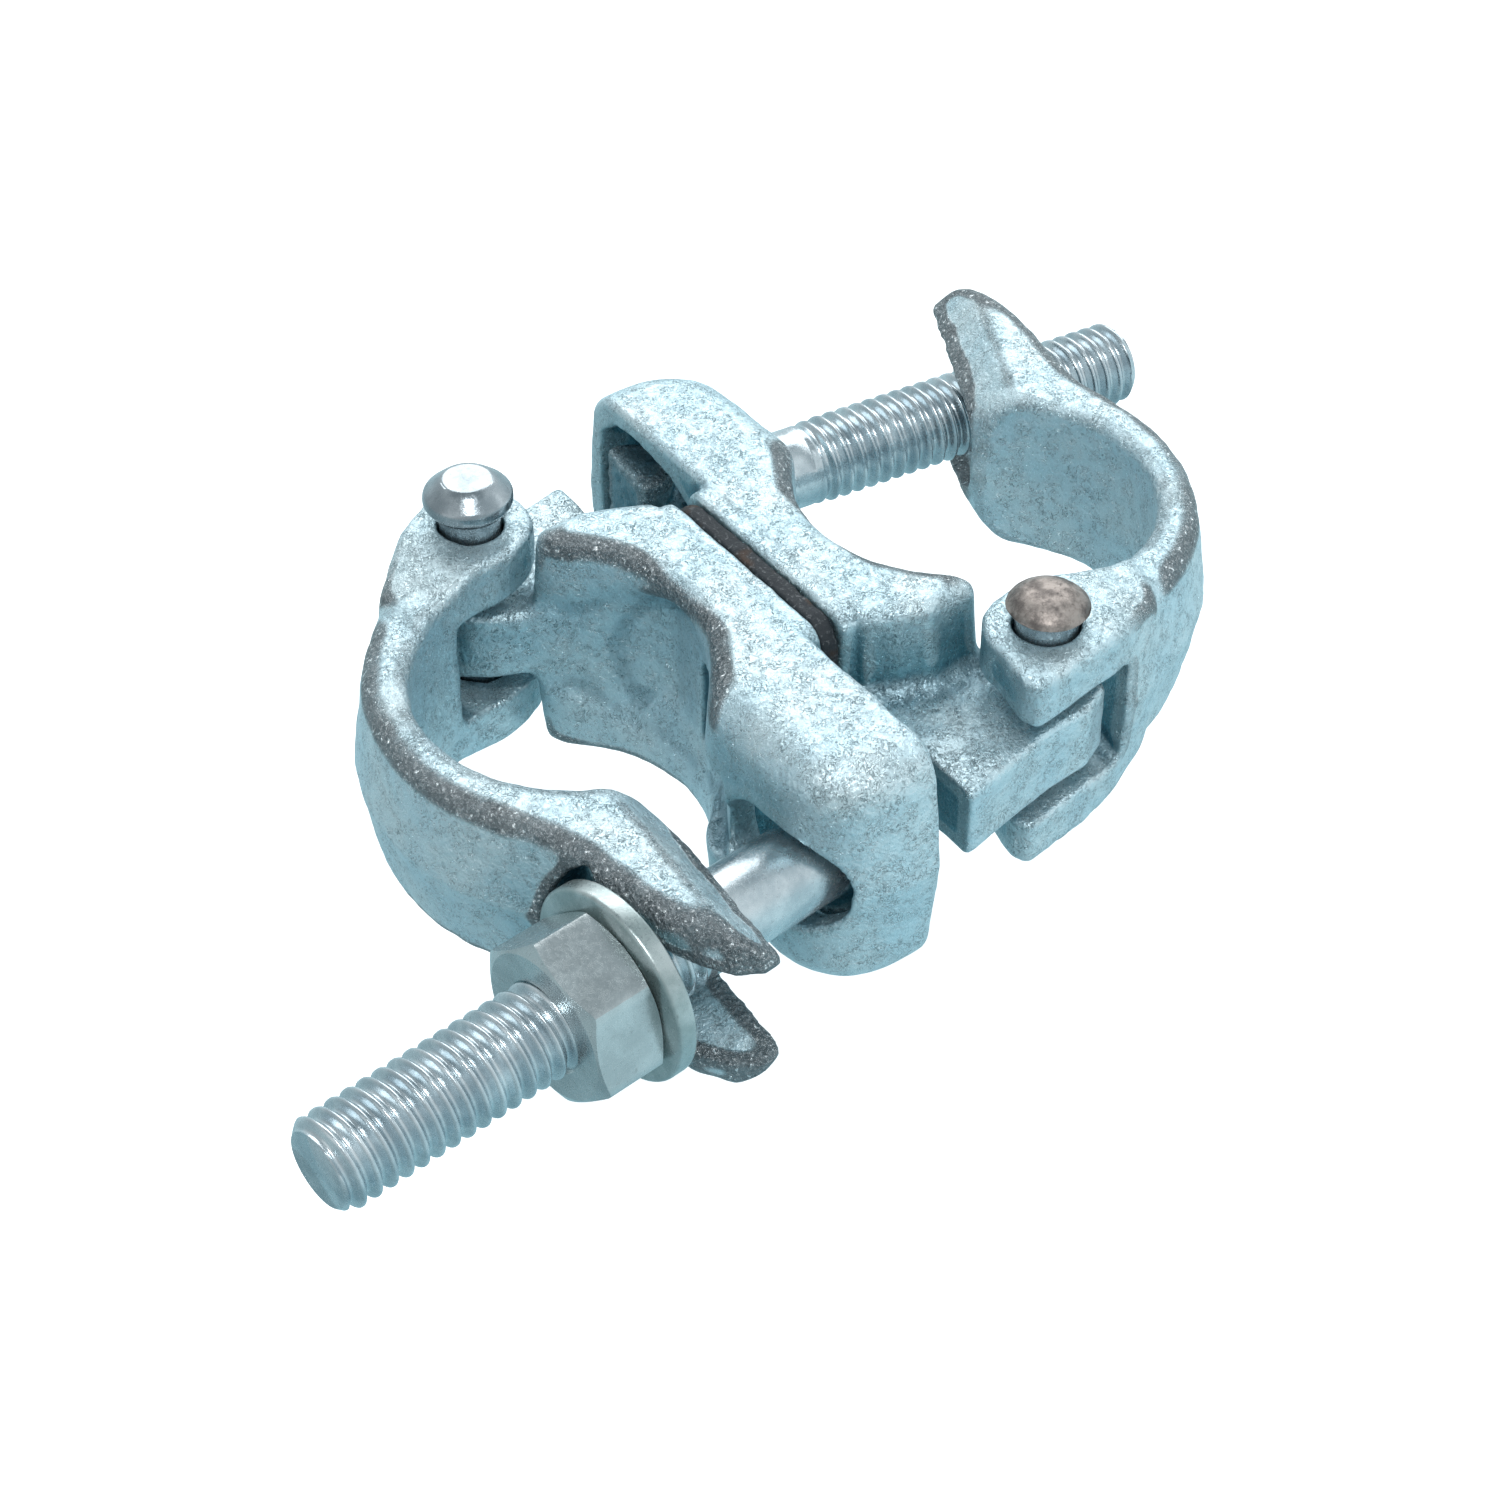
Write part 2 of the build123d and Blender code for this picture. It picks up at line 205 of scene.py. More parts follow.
def saddle_field(u, v, z):
    """Block, swivel pad and hinge tongue, with the tube seat and the dish sunk in them."""
    u2, v2 = u[:, :, :1], v[:, :, :1]
    high = np.abs(z)
    seat = np.hypot(u2 - SEAT_U, v2) - SEAT_R
    plan = polygon(u2, v2, BLOCK, 2.2)
    # the hinge end keeps a squarer shoulder than the bolt end
    soft = both(plan + high * BODY_DRAFT, high - BODY_HALF, 6.0)
    square = both(plan + high * SHOULDER_DRAFT, high - BODY_HALF, 2.6)
    share = ease(v, -8.0, 12.0)
    block = square * (1 - share) + soft * share
    block = both(block, BACK_U - u, 1.3)
    block = cut(block, seat, 3.4)
    # square pad round the swivel, standing proud of the back
    pad = both(np.abs(v) - PAD_V, high - PAD_Z + 0.12 * np.maximum(2.5 - u, 0), 3.2)
    pad = both(pad, np.abs(u - PAD_U) - PAD_DEEP, 0.9)
    block = join(block, pad, 0.5)
    # hinge tongue, flowing into the saddle
    arm = both(polygon(u2, v2, TONGUE, 1.0), high - TONGUE_HALF, 1.3)
    arm = both(arm, BACK_U - u, 0.6)
    arm = cut(arm, seat, 2.0)
    body = join(block, arm, 3.4)
    # wide shallow hollow between the two lands that bear on the tube, running out of the tongue's root
    neck = both(seat - 0.9, high - 9.5 - 4.5 * ease(v, -20.0, -9.0), 3.0)
    neck = both(neck, v - 8.0, 7.0)
    body = sink(body, neck, 3.0)
    # round dish, its floor creased between a hinge-side flank, a bolt-side face and a lower ramp
    flank = (CREASE_U - 0.62 * (v - CREASE_V) - u) / 1.18
    face = CREASE_U + 0.26 * (v - CREASE_V) - u
    ramp = (6.6 - 0.07 * v - 0.62 * z - u) / 1.18
    floor = -join(join(-flank, -face, 1.0), -ramp, 0.8)
    body = sink(body, both(np.hypot(v, z) - DISH_R, floor, 2.2), 2.0)
    # runout from the dish toward the gate
    runout = both(high - 8.0, (11.4 + 0.62 * (v - 8.0)) - u, 2.0)
    runout = both(runout, np.abs(v - 15.0) - 12.0, 2.0)
    return sink(body, runout, 1.2)


def body_field(u, v, z):
    """The saddle with its bolt box, gate, rivet hole and the room for the swivel pin."""
    u2, v2 = u[:, :, :1], v[:, :, :1]
    swivel = np.hypot(v, z)
    body = saddle_field(u, v, z)
    # closed hollow that holds the pin's head under the dish, and its bore
    body = cut(body, both(swivel - HOLLOW_R, np.abs(u - HOLLOW_U) - HOLLOW_HALF, 0.1), 0.1)
    # box for the bolt head, open at the back
    depth = both(u - 17.9 + ease(v, 42.0, 48.4) * 6.5, v - 48.2, 1.0)
    box = both(np.broadcast_to(polygon(v[:1], z[:1], WINDOW, 2.2), u.shape), depth, 2.2)
    body = cut(body, box, 0.7)
    # gate the shank swings in
    reach = v - np.clip(v, GATE_V[0] + GATE_R, GATE_V[1] - GATE_R)
    gate = both(np.hypot(reach, z) - GATE_R, 13.0 - u, 0.3)
    body = cut(body, gate, 1.2)
    body = cut(body, both(swivel - PIN_BORE, u - HOLLOW_U, 0.1), 0.3)
    body = cut(body, np.hypot(u2 - HINGE[0], v2 - HINGE[1]) - TONGUE_BORE, 0.4)
    return body, 0.10 * waves(u, v, z, 3, 9.0) + 0.05 * waves(u, v, z, 5, 3.6)


def body_rub(u, v, z):
    """Where the saddle is rubbed bare: the rims of the seat."""
    rim = 1 - ease(np.abs(np.hypot(u - SEAT_U, v) - SEAT_R), 3.5, 8.0)
    rim = rim * ease(v, -27.0, -19.0) * ease(u, 11.0, 13.0) * ease(np.abs(z), 12.0, 16.0)
    return np.maximum(rim, 0.15)


# ---------------------------------------------------------------- forged cap
OUTER_BEND = [
    (36.4, -40.8), (42.6, -37.8), (50.0, -32.8), (57.4, -27.2), (64.0, -19.8), (68.6, -10.0), (70.6, 0.0),
    (70.2, 8.0), (68.4, 15.0), (66.2, 20.6), (65.0, 26.0), (65.0, 32.0), (65.2, 38.0), (64.9, 44.0),
]
INNER_BEND = [(50.2, 56.6), (48.4, 51.0), (47.0, 45.0), (45.8, 38.8), (45.0, 31.0), (45.0, 21.0)]
STRAP = [(27.0, -43.4)] + softened(OUTER_BEND) + [
    (63.8, 50.0), (61.2, 55.6), (57.4, 58.8), (53.4, 59.1),
] + softened(INNER_BEND) + [(36.0, 0.0), (31.0, -18.0), (29.0, -26.0)]


def lug_outline():
    """Flat-cornered lug with a round eye toward the saddle."""
    arc = [math.radians(a) for a in range(100, 201, 20)]
    eye = [(HINGE[0] + EYE_R * math.cos(a), HINGE[1] + EYE_R * math.sin(a)) for a in arc]
    return [(18.7, -44.5), (20.4, -46.9), (23.0, -46.0), (29.5, -43.2), (36.0, -40.6), (41.0, -37.4),
            (46.5, -33.0), (47.5, -22.5), (36.0, -22.6)] + eye


def cap_field(u, v, z):
    """Strap, forked lugs and slotted nose of a cap."""
    u2, v2 = u[:, :, :1], v[:, :, :1]
    high = np.abs(z)
    seat = np.hypot(u2 - SEAT_U, v2) - SEAT_R
    rise = LUG_HALF + (CAP_HALF - LUG_HALF) * ease(u, 31.0, 50.0)
    # strap with a parting ridge, drafted both ways
    strap = both(polygon(u2, v2, STRAP, 2.0) + high * CAP_DRAFT, high - rise, 3.0)
    lug = both(polygon(u2, v2, lug_outline(), 1.6), high - rise, 1.3)
    cap = join(strap, lug, 2.4)
    cap = cut(cap, seat, 1.8)
    # the tube side of the lug is hollowed to let the saddle's corner pass
    cap = cut(cap, np.hypot(u2 - 34.6, v2 + 17.2) - 6.6, 1.5)
    # bevel along the inner face of the nose, which leans 14 degrees
    across_u, across_v, fall = 0.9703, 0.2419, 0.9
    off = (u - 50.3) * across_u - (v - 19.0) * across_v
    bevel = (high - CAP_HALF - fall * off) / math.hypot(1, fall)
    cap = np.where(v > 2, both(cap, bevel, 1.2), cap)
    # fork gap over the tongue
    fork = both(u - FORK_U, high - FORK_HALF, 1.6)
    fork = both(fork, v, 0.1)
    cap = cut(cap, fork, 0.9)
    # open slot for the bolt
    reach = v - np.maximum(v, SLOT_V + SLOT_R)
    slot = both(np.hypot(reach, z) - SLOT_R, 40.0 - u, 0.2)
    cap = cut(cap, slot, 1.3)
    # curved bearing face and round recess for the washer
    lean = math.radians(3.0)
    across = (u - 64.5) * math.sin(lean) + (v - 38.3) * math.cos(lean)
    bearing = 25.0 - np.hypot(u2 - 39.5, v2 - 39.6)
    pocket = both(np.hypot(across, z) - 15.9, bearing, 0.4)
    cap = cut(cap, pocket, 0.6)
    cap = cut(cap, np.hypot(u2 - HINGE[0], v2 - HINGE[1]) - LUG_BORE, 0.5)
    return cap, 0.10 * waves(u, v, z, 11, 8.0) + 0.06 * waves(u, v, z, 13, 3.4)


def cap_rub(u, v, _z):
    """The cap is rubbed along the outer edges of its back and nose, less on the tube side."""
    outer = ease(np.hypot(u - SEAT_U, v), SEAT_R + 2.0, SEAT_R + 6.0)
    return 0.2 + 0.8 * ease(u, 34.0, 48.0) * (0.35 + 0.65 * outer)


# ---------------------------------------------------------------- meshing a field
def sample(field, low, step, points):
    """The field between its grid points."""
    where = (points - low) / step
    cell = np.clip(np.floor(where).astype(int), 0, np.array(field.shape) - 2)
    part = np.clip(where - cell, 0, 1)
    total = 0.0
    for corner in np.ndindex(2, 2, 2):
        weight = np.prod([part[:, k] if corner[k] else 1 - part[:, k] for k in range(3)], 0)
        total = total + weight * field[tuple((cell + corner).T)]
    return total


def surface(field, low, step):
    """Surface nets: one point in each cell the surface passes, one face for each crossed grid edge."""
    inside = field < 0
    shape = np.array(field.shape) - 1
    total = np.zeros(tuple(shape) + (3,))
    count = np.zeros(shape)
    corner_of = [(a, b) for a in (0, 1) for b in (0, 1)]
    for axis in range(3):
        others = [k for k in range(3) if k != axis]
        first = [slice(None)] * 3
        second = [slice(None)] * 3
        first[axis] = slice(0, -1)
        second[axis] = slice(1, None)
        f0, f1 = field[tuple(first)], field[tuple(second)]
        crossed = (f0 < 0) != (f1 < 0)
        t = np.where(crossed, f0 / np.where(crossed, f0 - f1, 1.0), 0)
        for a, b in corner_of:
            pick = [slice(None)] * 3
            pick[others[0]] = slice(a, a + shape[others[0]])
            pick[others[1]] = slice(b, b + shape[others[1]])
            hit, place = crossed[tuple(pick)], t[tuple(pick)]
            count += hit
            total[..., axis] += np.where(hit, place, 0)
            total[..., others[0]] += np.where(hit, a, 0)
            total[..., others[1]] += np.where(hit, b, 0)
    active = count > 0
    index = -np.ones(shape, int)
    index[active] = np.arange(active.sum())
    cells = np.argwhere(active)
    points = low + (cells + total[active] / count[active][:, None]) * step
    faces = []
    for axis in range(3):
        p, q = [(1, 2), (2, 0), (0, 1)][axis]
        inner = [slice(1, -1)] * 3
        inner[axis] = slice(0, -1)
        after = list(inner)
        after[axis] = slice(1, None)
        f0, f1 = inside[tuple(inner)], inside[tuple(after)]
        for flip, hit in ((False, f0 & ~f1), (True, ~f0 & f1)):
            start = np.argwhere(hit)
            start[:, p] += 1
            start[:, q] += 1
            quad = []
            for dp, dq in ((-1, -1), (0, -1), (0, 0), (-1, 0)):
                at = start.copy()
                at[:, p] += dp
                at[:, q] += dq
                quad.append(index[tuple(at.T)])
            quad = np.stack(quad, 1)
            faces.append(quad[:, ::-1] if flip else quad)
    faces = np.concatenate(faces)
    return points, faces[(faces >= 0).all(1)]


def bending(field):
    """How sharply the field's surfaces bend, outward corners positive, averaged over a few grid steps."""
    slope = np.gradient(field, GRID)
    size = np.sqrt(sum(g * g for g in slope)) + 1e-9
    total = sum(np.gradient(g / size, GRID, axis=k) for k, g in enumerate(slope))
    for axis in (0, 1, 2) * 3:
        total = (np.roll(total, 1, axis) + total + np.roll(total, -1, axis)) / 3
    return total


def forged_mesh(function, low, high, rub=None):
    """Mesh of a field in plan millimetres, with its wear, shade and bend stored on the points."""
    low, high = np.array(low, float), np.array(high, float)
    axes = [np.arange(a, b + GRID, GRID) for a, b in zip(low, high)]
    u, v, z = np.meshgrid(*axes, indexing="ij")
    plain, relief = function(u, v, z)
    field = plain + relief
    points, faces = surface(field, low, GRID)
    slope = np.gradient(field, GRID)
    for _ in range(2):
        normal = np.stack([sample(g, low, GRID, points) for g in slope], 1)
        size = np.linalg.norm(normal, axis=1) + 1e-9
        step = np.clip(sample(field, low, GRID, points) / size, -GRID / 2, GRID / 2)
        points = points - normal * (step / size)[:, None]
    normal /= size[:, None]
    bend = sample(bending(plain), low, GRID, points)
    wear = ease(bend, WEAR_FROM, WEAR_TO)
    if rub:
        wear = wear * rub(*points.T)
    shade = 1 - sample(field, low, GRID, points + normal * SHADE_REACH) / SHADE_REACH
    return points, faces, {"wear": wear, "shade": np.clip(shade, 0, 1), "bend": bend}


def to_row(points, half, cap):
    """Plan millimetres to row metres."""
    points = points.copy()
    if cap:
        c, s = math.cos(CAP_TURN[half]), math.sin(CAP_TURN[half])
        d = points[:, :2] - HINGE
        points[:, 0] = HINGE[0] + c * d[:, 0] - s * d[:, 1]
        points[:, 1] = HINGE[1] + s * d[:, 0] + c * d[:, 1]
    if half == "a":
        points[:, :2] *= -1
    points[:, 0] -= SEAT_U
    return points * MM


def make_object(name, points, faces, material, values=None):
    """A smooth-shaded mesh of row metres, with numbers stored on its points."""
    mesh = bpy.data.meshes.new(name)
    mesh.from_pydata(points.tolist(), [], [list(map(int, f)) for f in faces])
    mesh.validate()
    for key, data in (values or {}).items():
        layer = mesh.attributes.new(key, "FLOAT", "POINT")
        layer.data.foreach_set("value", np.asarray(data, np.float32))
    mesh.polygons.foreach_set("use_smooth", [True] * len(mesh.polygons))
    mesh.materials.append(material)
    thing = bpy.data.objects.new(name, mesh)
    bpy.context.scene.collection.objects.link(thing)
    return thing


# ---------------------------------------------------------------- materials
class Tree:
    """Short hand for building a node tree."""

    def __init__(self, owner):
        owner.use_nodes = True
        self.tree = owner.node_tree
        self.tree.nodes.clear()

    def add(self, kind, **settings):
        node = self.tree.nodes.new(kind)
        for key, value in settings.items():
            setattr(node, key, value)
        return node

    def link(self, a, b):
        self.tree.links.new(a, b)

    def put(self, socket, value):
        if hasattr(value, "is_linked"):
            self.link(value, socket)
        else:
            socket.default_value = value

    def step(self, value, low, high, out_low=0.0, out_high=1.0):
        """Smooth step of a value from low to high."""
        node = self.add("ShaderNodeMapRange", interpolation_type="SMOOTHSTEP")
        self.link(value, node.inputs["Value"])
        for key, number in (("From Min", low), ("From Max", high), ("To Min", out_low), ("To Max", out_high)):
            node.inputs[key].default_value = number
        return node.outputs["Result"]

    def math(self, operation, a, b=0.0):
        node = self.add("ShaderNodeMath", operation=operation)
        self.put(node.inputs[0], a)
        self.put(node.inputs[1], b)
        return node.outputs[0]

    def mix(self, factor, a, b, blend="MIX"):
        node = self.add("ShaderNodeMix", data_type="RGBA", blend_type=blend)
        self.put(node.inputs["Factor"], factor)
        for socket, value in ((node.inputs[6], a), (node.inputs[7], b)):
            self.put(socket, (*value, 1.0) if isinstance(value, tuple) else value)
        return node.outputs[2]


class Nodes(Tree):
    """A node material on the object's own coordinates."""

    def __init__(self, name):
        self.material = bpy.data.materials.new(name)
        super().__init__(self.material)
        self.shader = self.add("ShaderNodeBsdfPrincipled")
        output = self.add("ShaderNodeOutputMaterial")
        self.link(self.shader.outputs["BSDF"], output.inputs["Surface"])
        self.place = self.add("ShaderNodeTexCoord").outputs["Object"]

    def attribute(self, name):
        return self.add("ShaderNodeAttribute", attribute_name=name).outputs["Fac"]

    def noise(self, millimetres, detail=4.0, rough=0.55, distortion=0.0):
        node = self.add("ShaderNodeTexNoise")
        self.link(self.place, node.inputs["Vector"])
        node.inputs["Scale"].default_value = 1.0 / (millimetres * MM)
        node.inputs["Detail"].default_value = detail
        node.inputs["Roughness"].default_value = rough
        node.inputs["Distortion"].default_value = distortion
        return node.outputs["Fac"]

    def cells(self, millimetres):
        node = self.add("ShaderNodeTexVoronoi")
        self.link(self.place, node.inputs["Vector"])
        node.inputs["Scale"].default_value = 1.0 / (millimetres * MM)
        return node.outputs["Distance"]

    def bump(self, layers):
        """Layers of (height, millimetres, strength), one over the other."""
        normal = None
        for height, millimetres, strength in layers:
            node = self.add("ShaderNodeBump")
            self.link(height, node.inputs["Height"])
            node.inputs["Distance"].default_value = millimetres * MM
            node.inputs["Strength"].default_value = strength
            if normal is not None:
                self.link(normal, node.inputs["Normal"])
            normal = node.outputs["Normal"]
        self.link(normal, self.shader.inputs["Normal"])

    def finish(self, color, metallic, roughness):
        self.put(self.shader.inputs["Base Color"], (*color, 1.0) if isinstance(color, tuple) else color)
        self.put(self.shader.inputs["Metallic"], metallic)
        self.put(self.shader.inputs["Roughness"], roughness)
        return self.material


def forged_zinc():
    """Bright zinc over a scaly forged skin: fine dark wrinkles, painted teal shade in hollows, creases and
    covered places, painted light on ridges, and rubbed bands with glints.
    """
    n = Nodes("forged_zinc")
    fine = n.noise(0.55, 5.0, 0.7, 0.8)
    # clean zinc with painted light and shade: painted teal shade where it is covered or hollow, weaker on
    # faces turned up as if lit from above, a painted highlight on ridges and painted shade in creases
    ambient_occlusion = n.add("ShaderNodeAmbientOcclusion", samples=6)
    ambient_occlusion.inputs["Distance"].default_value = 32 * MM
    facing = n.add("ShaderNodeSeparateXYZ")
    n.link(n.add("ShaderNodeNewGeometry").outputs["Normal"], facing.inputs["Vector"])
    # painted shade mask: occlusion within 32 mm, eased off on faces turned up as if lit from above
    painted_cover_shade = n.step(ambient_occlusion.outputs["AO"], 0.30, 0.98, 1.0, 0.0)
    painted_cover_shade = n.math("MULTIPLY", painted_cover_shade, n.step(facing.outputs["Z"], 0.12, 0.50, 1.0, 0.15))
    # painted shade mask for tight hollows, from the stored shade
    painted_hollow_shade = n.step(n.attribute("shade"), 0.08, 0.75)
    bend = n.attribute("bend")
    # painted highlight mask on convex ridges in covered places
    painted_ridge_light = n.math("MULTIPLY", n.step(bend, 0.02, 0.12), painted_cover_shade)
    # painted shade mask in concave creases
    painted_crease_shade = n.step(bend, -0.16, -0.03, 1.0, 0.0)
    skin = n.mix(n.step(n.noise(11.0, 3.0), 0.35, 0.7), (0.64, 0.82, 0.89), (0.73, 0.86, 0.90))
    # painted teal shade where covered
    skin = n.mix(n.math("MULTIPLY", painted_cover_shade, 0.95), skin, (0.08, 0.30, 0.38))
    # painted highlight on ridges
    skin = n.mix(n.math("MULTIPLY", painted_ridge_light, 0.60), skin, (0.55, 0.72, 0.76))
    # painted dark shade in tight hollows
    skin = n.mix(n.math("MULTIPLY", painted_hollow_shade, 0.75), skin, (0.06, 0.18, 0.24))
    # painted shade in creases
    skin = n.mix(n.math("MULTIPLY", painted_crease_shade, 0.30), skin, (0.04, 0.14, 0.20))
    # dark wrinkle lines and specks
    lines = n.math("ABSOLUTE", n.math("SUBTRACT", n.noise(1.5, 3.0, 0.6, 2.2), 0.5))
    lines = n.step(lines, 0.0, 0.045, 1.0, 0.0)
    lines = n.math("MULTIPLY", lines, n.step(n.noise(2.6, 2.0), 0.36, 0.60))
    specks = n.step(n.noise(0.7, 4.0, 0.7, 0.8), 0.58, 0.70)
    skin = n.mix(n.math("MULTIPLY", lines, 0.75), skin, (0.10, 0.17, 0.20))
    skin = n.mix(n.math("MULTIPLY", specks, 0.45), skin, (0.14, 0.24, 0.28))
    # rubbed bands, ragged at their edges, with bright grains
    uneven = n.math("SUBTRACT", n.noise(6.0, 3.0, 0.5, 0.3), 0.5)
    grain = n.math("MULTIPLY", n.math("SUBTRACT", fine, 0.5), 0.5)
    patch = n.math("ADD", n.math("ADD", n.attribute("wear"), n.math("MULTIPLY", uneven, 0.6)), grain)
    worn = n.step(patch, 0.26, 1.02)
    metal = n.mix(n.step(fine, 0.40, 0.66), (0.10, 0.11, 0.118), (0.34, 0.36, 0.37))
    metal = n.mix(n.step(n.noise(0.9, 2.0, 0.5), 0.62, 0.70), metal, (0.95, 0.97, 0.98))
    color = n.mix(n.math("MULTIPLY", worn, 0.90), skin, metal)
    rough = n.math("ADD", n.step(fine, 0.3, 0.7, 0.24, 0.44), n.math("MULTIPLY", worn, -0.14))
    strength = n.math("ADD", 0.35, n.math("MULTIPLY", worn, 0.9))
    height = n.math("MULTIPLY", n.math("ADD", n.cells(0.75), n.math("MULTIPLY", fine, 0.9)), strength)
    height = n.math("SUBTRACT", height, n.math("MULTIPLY", lines, 0.5))
    swell, wrinkle = n.noise(5.0, 2.0), n.noise(1.1, 3.0, 0.6, 1.2)
    n.bump([(swell, 0.8, 0.14), (wrinkle, 0.40, 0.60), (height, 0.40, 0.70)])
    return n.finish(color, 0.85, rough)


def plated(name, color, dark, rough, grain):
    """Smooth zinc plate on a turned or pressed piece, faintly clouded and scratched."""
    n = Nodes(name)
    cloud = n.noise(5.0, 4.0, 0.6)
    scratch = n.noise(grain, 5.0, 0.7, 0.4)
    tint = n.mix(n.step(cloud, 0.35, 0.7), dark, color)
    tint = n.mix(n.math("MULTIPLY", n.step(scratch, 0.58, 0.75), 0.5), tint, tuple(c * 0.35 for c in dark))
    n.bump([(cloud, 0.15, 0.25), (scratch, 0.06, 0.35)])
    return n.finish(tint, 0.9, n.step(scratch, 0.3, 0.7, rough, rough + 0.16))


def bare_steel():
    """Hammered rivet end, worn through to brown grey steel."""
    n = Nodes("bare_steel")
    pits = n.noise(0.5, 4.0, 0.7, 0.6)
    cloud = n.noise(2.4, 4.0, 0.6)
    color = n.mix(n.step(cloud, 0.38, 0.65), (0.17, 0.15, 0.14), (0.42, 0.37, 0.34))
    color = n.mix(n.math("MULTIPLY", n.step(pits, 0.55, 0.7), 0.5), color, (0.07, 0.06, 0.06))
    n.bump([(cloud, 0.3, 0.3), (pits, 0.12, 0.6)])
    return n.finish(color, 0.85, n.step(pits, 0.3, 0.7, 0.38, 0.6))


def dark_steel():
    """Unplated friction plate, dull and nearly black, brown in places, with fine pale grit; the near-black is
    dark steel with the shade of the narrow gap between the halves painted in.
    """
    n = Nodes("dark_steel")
    pits = n.noise(0.7, 5.0, 0.7, 0.5)
    # near-black tone: dark unplated steel with painted shade of the narrow gap
    color = n.mix(n.step(n.noise(7.0, 2.0), 0.52, 0.66), (0.030, 0.036, 0.042), (0.075, 0.045, 0.030))
    color = n.mix(n.step(pits, 0.52, 0.72), color, (0.20, 0.21, 0.22))
    n.bump([(pits, 0.3, 0.6)])
    return n.finish(color, 0.5, 0.55)


FORGED = forged_zinc()
TURNED = plated("turned_zinc", (0.46, 0.51, 0.54), (0.30, 0.35, 0.38), 0.16, 0.9)
PRESSED = plated("pressed_zinc", (0.55, 0.62, 0.62), (0.36, 0.44, 0.44), 0.24, 0.5)
NUT_METAL = plated("nut_zinc", (0.62, 0.68, 0.69), (0.50, 0.55, 0.56), 0.15, 0.8)
ROLLED = plated("rolled_zinc", (0.74, 0.81, 0.84), (0.50, 0.58, 0.62), 0.15, 0.7)
BARE = bare_steel()
DARK = dark_steel()


# ---------------------------------------------------------------- turned pieces
def along_axis(origin, axis):
    """Takes (across, across, along) millimetres about an axis given in row millimetres to row metres."""
    axis = Vector(axis).normalized()
    up = Vector((0, 1, 0)) if abs(axis.z) > 0.9 else Vector((0, 0, 1))
    turn = np.array([up.cross(axis), up, axis])
    return lambda points: (np.asarray(points) @ turn + np.asarray(origin, float)) * MM


def strips(rows, around):
    """Quads between pairs of rings of points, each ring closed on itself."""
    faces = []
    for i, j in rows:
        for k in range(around):
            m = (k + 1) % around
            faces.append((i * around + k, i * around + m, j * around + m, j * around + k))
    return faces


def sharpened(thing, degrees):
    """Edges bent more than this many degrees stay sharp."""
    thing.data.set_sharp_from_angle(angle=math.radians(degrees))
    return thing


def lathe(name, profile, place, material, closed_ring=False, segments=96, wobble=0.0):
    """A profile of (radius, along) turned about its axis, with flat ends or closed on itself."""
    profile = np.asarray(profile, float)
    angle = np.arange(segments) * 2 * math.pi / segments
    rings = []
    for i, (radius, along) in enumerate(profile):
        uneven = 1 + wobble * (np.sin(3 * angle + i) + 0.6 * np.sin(5 * angle + 2.0 * i)) / 2
        rings.append(np.stack([radius * uneven * np.cos(angle), radius * uneven * np.sin(angle),
                               np.full(segments, along)], 1))
    count = len(profile)
    rows = [(i, i + 1) for i in range(count - 1)] + ([(count - 1, 0)] if closed_ring else [])
    faces = strips(rows, segments)
    if not closed_ring:
        faces.append(tuple(range(segments))[::-1])
        faces.append(tuple((count - 1) * segments + k for k in range(segments)))
    return sharpened(make_object(name, place(np.concatenate(rings)), faces, material), 50)


def curve(*points, steps=6):
    """A profile whose corners are rounded: each point is (radius, along, rounding)."""
    out = []
    count = len(points)
    for i, (r, t, rounding) in enumerate(points):
        if rounding <= 0 or i in (0, count - 1):
            out.append((r, t))
            continue
        here = np.array([r, t])
        a = np.array(points[i - 1][:2]) - here
        b = np.array(points[i + 1][:2]) - here
        a, b = a / np.linalg.norm(a), b / np.linalg.norm(b)
        p, q = here + a * rounding, here + b * rounding
        for s in np.linspace(0, 1, steps):
            out.append(tuple((1 - s) ** 2 * p + 2 * s * (1 - s) * here + s * s * q))
    return out


def threaded(name, place, length, material):
    """Plain shank that runs into a rolled right-hand thread, with a small end chamfer."""
    around, per_pitch = 60, 12
    plain = list(np.linspace(6.0, THREAD_START, 12))
    stations = plain + list(np.arange(THREAD_START, length, PITCH / per_pitch)) + [length]
    angle = np.arange(around) * 2 * math.pi / around
    rings = []
    for t in stations:
        phase = (t / PITCH - angle / (2 * math.pi)) % 1.0
        groove = np.clip(np.abs(phase - 0.5) * 2.6 - 0.18, 0, 1)
        crest = 0.5 - 0.5 * np.cos(math.pi * groove)
        runin = float(ease(np.array(t), THREAD_START - 0.5, THREAD_START + 5.0))
        radius = SHANK_R + (THREAD_R - SHANK_R) * runin - THREAD_DEEP * runin * (1 - crest)
        radius = np.minimum(radius, 5.7 + (length - t) * 0.9)
        rings.append(np.stack([radius * np.cos(angle), radius * np.sin(angle), np.full(around, t)], 1))
    points = np.concatenate(rings + [np.array([[0, 0, stations[0]], [0, 0, length - 0.2]])])
    last = len(stations) - 1
    faces = strips([(i, i + 1) for i in range(last)], around)
    base = len(stations) * around
    for k in range(around):
        m = (k + 1) % around
        faces.append((base, m, k))
        faces.append((base + 1, last * around + k, last * around + m))
    return sharpened(make_object(name, place(points), faces, material), 60)


